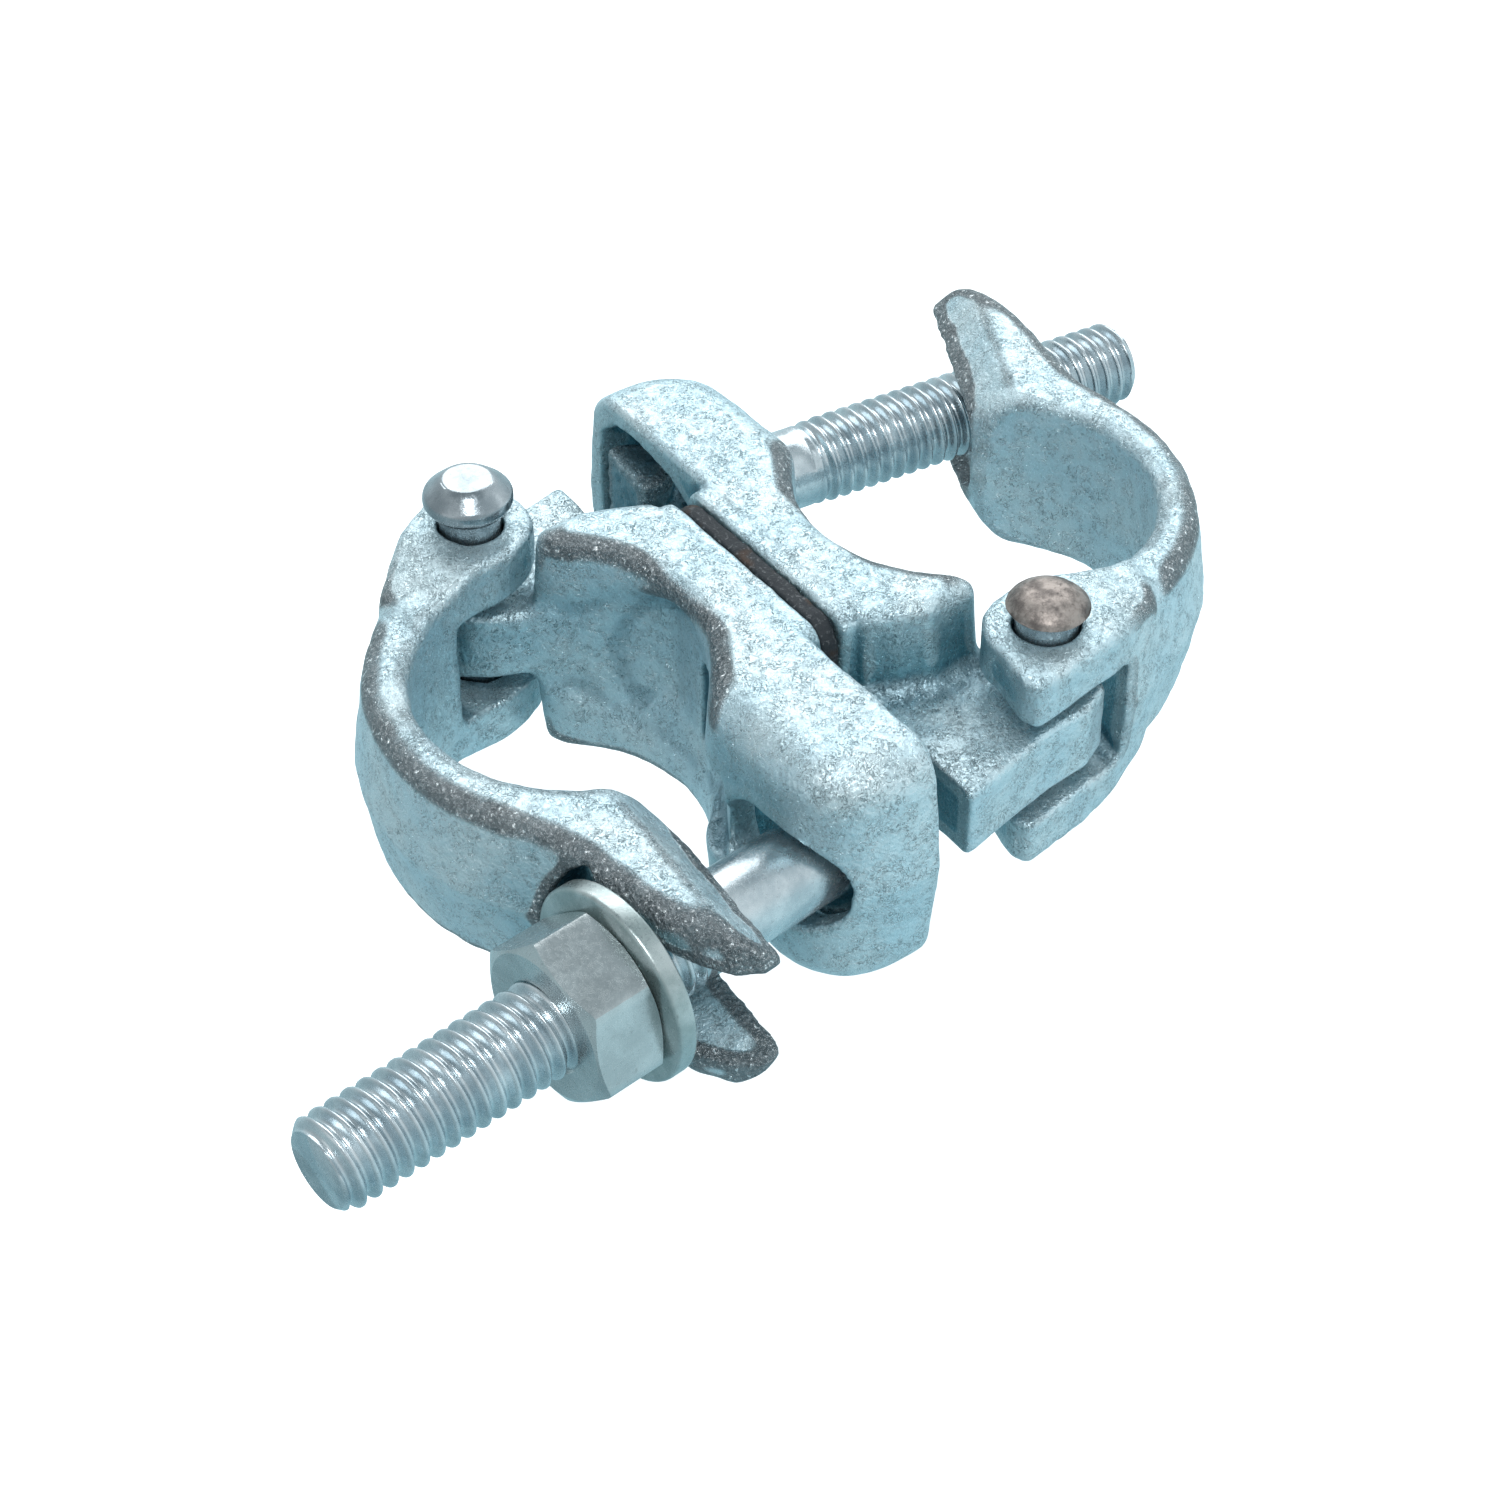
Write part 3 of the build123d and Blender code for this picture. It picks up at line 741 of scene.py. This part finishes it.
def hex_nut(name, place, material):
    """Hexagon nut with chamfered faces."""
    around = 120
    angle = np.arange(around) * 2 * math.pi / around
    side = NUT_FLATS / 2 / np.cos((angle + math.pi / 6) % (math.pi / 3) - math.pi / 6)
    side = np.minimum(side, NUT_FLATS / math.sqrt(3) - 0.15)
    rim = NUT_FLATS / 2 * 0.97
    drop = np.maximum(side - rim, 0.0) * math.tan(math.radians(28))
    sections = [(NUT_BORE, 1.0), (NUT_BORE + 1.0, 0.0), (rim, 0.0), (side, drop), (side, NUT_HIGH - drop),
                (rim, NUT_HIGH), (NUT_BORE + 1.0, NUT_HIGH), (NUT_BORE, NUT_HIGH - 1.0)]
    rings = [np.stack([radius * np.cos(angle + NUT_TURN), radius * np.sin(angle + NUT_TURN),
                       np.broadcast_to(along, angle.shape)], 1) for radius, along in sections]
    faces = strips([(i, (i + 1) % len(rings)) for i in range(len(rings))], around)
    return sharpened(make_object(name, place(np.concatenate(rings)), faces, material), 20)


def head_field(u, v, z):
    """Forged hammer head of the bolt, round where it bears and flat behind."""
    bar = both(both(np.hypot(u, v) - HEAD_R, HEAD_BACK - u, 0.8), np.abs(z) - HEAD_HALF, 1.2)
    shank = both(np.hypot(v, z) - 6.6, u - 9.0, 0.3)
    shank = both(shank, -u, 0.3)
    return join(bar, shank, 1.5), 0.14 * waves(u, v, z, 21, 3.2)


def head_rub(_u, _v, _z):
    """A bolt's head is rubbed alike all over."""
    return 0.6


def plate_field(u, v, z):
    """Rough square plate between the halves, with a hole for the swivel."""
    plate = both(both(np.abs(v) - PLATE_V, np.abs(z) - PLATE_Z, 5.0), np.abs(u) - PLATE_HALF, 0.5)
    return cut(plate, np.hypot(v, z) - PLATE_BORE, 0.2), 0.12 * waves(u, v, z, 31, 4.0)


# ---------------------------------------------------------------- the coupler
BODY_OF = {n: b for b, members in frame["record"]["behaviour"]["bodies"].items() for n in members}


def keep(piece, node):
    """The piece stands for a CAD node and moves with its body."""
    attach(piece, BODY_OF[node])
    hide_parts(node)


def middle_of(node):
    """The middle of a node's box in row millimetres."""
    low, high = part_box(node)
    return (np.array(low) + np.array(high)) / 2 / MM


def bolt_line(half):
    """Where a bolt's head pivots and which way the bolt points, in row millimetres."""
    sign, head, angle = (-1, HEAD_A, BOLT_A_ANGLE) if half == "a" else (1, HEAD_B, BOLT_B_ANGLE)
    origin = np.array([sign * head[0] - SEAT_U, sign * head[1], 0.0])
    return origin, np.array([sign * math.cos(angle), sign * math.sin(angle), 0.0])


def bolt(half, mesh):
    """Forged hammer head, plain shank and rolled thread."""
    node = f"t_bolt_{half}"
    origin, axis = bolt_line(half)
    reach = max(abs(corner[0] / MM - origin[0]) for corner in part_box(node))
    length = (reach - abs(THREAD_R * axis[1])) / abs(axis[0]) + 0.2
    keep(threaded(f"{node}_stem", along_axis(origin, axis), length, ROLLED), node)
    points, faces, values = mesh
    head, angle = (HEAD_A, BOLT_A_ANGLE) if half == "a" else (HEAD_B, BOLT_B_ANGLE)
    c, s = math.cos(angle), math.sin(angle)
    turned = points.copy()
    turned[:, 0] = head[0] + c * points[:, 0] - s * points[:, 1]
    turned[:, 1] = head[1] + s * points[:, 0] + c * points[:, 1]
    keep(make_object(f"{node}_head", to_row(turned, half, False), faces, FORGED, values), node)


def hinge_rivet(half):
    """Factory head up on half A and down on half B, with the peened end opposite."""
    node = f"hinge_rivet_{half}"
    sign = -1 if half == "a" else 1
    ends = [corner.z / MM * -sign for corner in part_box(node)]
    top, low = max(ends) - RIVET_HEAD, min(ends) + RIVET_TAIL
    factory = curve(
        (RIVET_R, low - 0.5, 0), (RIVET_R, top, 0.0), (5.6, top + 0.05, 0.2), (6.85, top + 1.5, 0.6),
        (6.75, top + 3.0, 0.5), (4.4, top + 5.1, 0.6), (3.6, top + 5.5, 0.3), (0.05, top + 5.4, 0),
    )
    peened = curve(
        (0.05, low - 3.1, 0), (3.6, low - 2.8, 1.2), (5.7, low - 1.3, 0.9), (6.2, low - 0.4, 0.3),
        (5.6, low, 0.2), (RIVET_R, low + 0.1, 0),
    )
    place = along_axis((sign * HINGE[0] - SEAT_U, sign * HINGE[1], 0), (0, 0, -sign))
    keep(lathe(f"{node}_factory_head", factory, place, TURNED, wobble=0.004), node)
    metal = BARE if half == "b" else TURNED
    keep(lathe(f"{node}_peened_end", peened, place, metal, wobble=0.02), node)


def washer_and_nut():
    """Washer and nut where their nodes lie on bolt A."""
    origin, axis = bolt_line("a")
    middle = float((middle_of("washer_a") - origin) @ axis)
    near, far = middle - WASHER_THICK / 2, middle + WASHER_THICK / 2
    ring = curve(
        (WASHER_BORE, near, 0.3), (WASHER_R, near, 0.35), (WASHER_R, far, 0.7), (WASHER_BORE, far, 0.3),
    )
    place = along_axis(origin, axis)
    keep(lathe("washer_a_ring", ring, place, PRESSED, closed_ring=True, segments=128), "washer_a")
    middle = float((middle_of("nut_a") - origin) @ axis)
    place = along_axis(origin + axis * (middle - NUT_HIGH / 2), axis)
    keep(hex_nut("nut_a_hexagon", place, NUT_METAL), "nut_a")


def swivel():
    """Swivel pin with a head under each dish, and the friction plate round it."""
    end = [(0.05, PIN_HEAD_OUT), (PIN_HEAD_R, PIN_HEAD_OUT),
           (PIN_HEAD_R, PIN_HEAD_IN), (PIN_R, PIN_HEAD_IN - 0.1)]
    spool = [(radius, -along) for radius, along in end] + end[::-1]
    place = along_axis((-SEAT_U, 0, 0), (1, 0, 0))
    keep(lathe("swivel_rivet_spool", spool, place, TURNED), "swivel_rivet")
    points, faces, _ = forged_mesh(plate_field, (-2.6, -21.0, -21.0), (2.6, 21.0, 21.0))
    keep(make_object("friction_plate_sheet", to_row(points, "b", False), faces, DARK), "friction_plate")


body_mesh = forged_mesh(body_field, (-2.8, -51.8, -25.2), (41.6, 56.8, 25.2), body_rub)
cap_mesh = forged_mesh(cap_field, (13.6, -51.4, -22.0), (75.0, 63.5, 22.0), cap_rub)
head_mesh = forged_mesh(head_field, (-3.0, -8.0, -12.5), (11.0, 8.0, 12.5), head_rub)
for half in "ab":
    for kind, (points, faces, values) in (("body", body_mesh), ("cap", cap_mesh)):
        node = f"{kind}_{half}"
        points = to_row(points, half, kind == "cap")
        keep(make_object(f"{node}_forging", points, faces, FORGED, values), node)
    bolt(half, head_mesh)
    hinge_rivet(half)
washer_and_nut()
swivel()


# ---------------------------------------------------------------- floor, light and camera
def floor():
    """Pale floor that lights the object but stays out of its reflections."""
    n = Nodes("studio_floor")
    material = n.finish((0.93, 0.94, 0.945), 0.0, 0.8)
    n.shader.inputs["Emission Color"].default_value = (1, 1, 1, 1)
    n.shader.inputs["Emission Strength"].default_value = 0.62
    mesh = bpy.data.meshes.new("floor")
    s, z = 3.0, -0.062
    mesh.from_pydata([(-s, -s, z), (s, -s, z), (s, s, z), (-s, s, z)], [], [(0, 1, 2, 3)])
    mesh.materials.append(material)
    thing = bpy.data.objects.new("floor", mesh)
    bpy.context.scene.collection.objects.link(thing)
    thing.visible_glossy = False


def softbox(name, place, width, height, watts):
    """Area light aimed at the swivel."""
    light = bpy.data.lights.new(name, "AREA")
    light.shape = "RECTANGLE"
    light.size, light.size_y = width, height
    light.energy = watts
    thing = bpy.data.objects.new(name, light)
    thing.location = place
    thing.rotation_euler = (LIGHT_AIM - Vector(place)).to_track_quat("-Z", "Y").to_euler()
    bpy.context.scene.collection.objects.link(thing)


def world():
    """Bright above the horizon, blue-green and darker below it and to the left, dim overhead."""
    scene_world = bpy.data.worlds.new("studio")
    n = Tree(scene_world)
    split = n.add("ShaderNodeSeparateXYZ")
    n.link(n.add("ShaderNodeTexCoord").outputs["Generated"], split.inputs["Vector"])
    low = n.mix(n.step(split.outputs["Z"], -0.90, -0.25), (0.29, 0.52, 0.60), (0.60, 0.80, 0.86))
    sky = n.mix(n.step(split.outputs["Z"], -0.25, 0.45), low, (0.74, 0.81, 0.84))
    sky = n.mix(n.step(split.outputs["Z"], 0.74, 0.93), sky, (0.34, 0.40, 0.43))
    side = n.step(split.outputs["X"], -0.9, 0.4, 0.60, 1.0)
    sky = n.mix(1.0, sky, side, "MULTIPLY")
    back = n.add("ShaderNodeBackground")
    n.link(sky, back.inputs["Color"])
    n.link(back.outputs["Background"], n.add("ShaderNodeOutputWorld").inputs["Surface"])
    bpy.context.scene.world = scene_world


def camera():
    """Camera at the photograph's viewing angle, turned about a point near the swivel."""
    azimuth, elevation, distance = math.radians(-35.43), math.radians(41.8), 0.45836
    target = Vector((-0.00545 - SEAT_U * MM, -0.00695, -0.00985))
    back = Vector((math.sin(azimuth) * math.cos(elevation), -math.cos(azimuth) * math.cos(elevation),
                   math.sin(elevation)))
    lens = bpy.data.cameras.new("camera")
    lens.lens = 72.91
    lens.sensor_width = 36.0
    thing = bpy.data.objects.new("camera", lens)
    thing.location = target + back * distance
    thing.rotation_euler = (-back).to_track_quat("-Z", "Y").to_euler()
    bpy.context.scene.collection.objects.link(thing)
    bpy.context.scene.camera = thing


floor()
world()
softbox("back", (0.42, 0.60, 0.68), 0.9, 0.6, 3.8)
softbox("glint", (-0.24, -0.35, 0.82), 0.22, 0.22, 2.8)
softbox("left", (-0.9, -0.1, 0.45), 0.5, 0.7, 0.3)
softbox("right", (0.8, -0.35, 0.35), 0.3, 0.6, 0.3)
camera()
bpy.context.scene.view_settings.view_transform = "Standard"
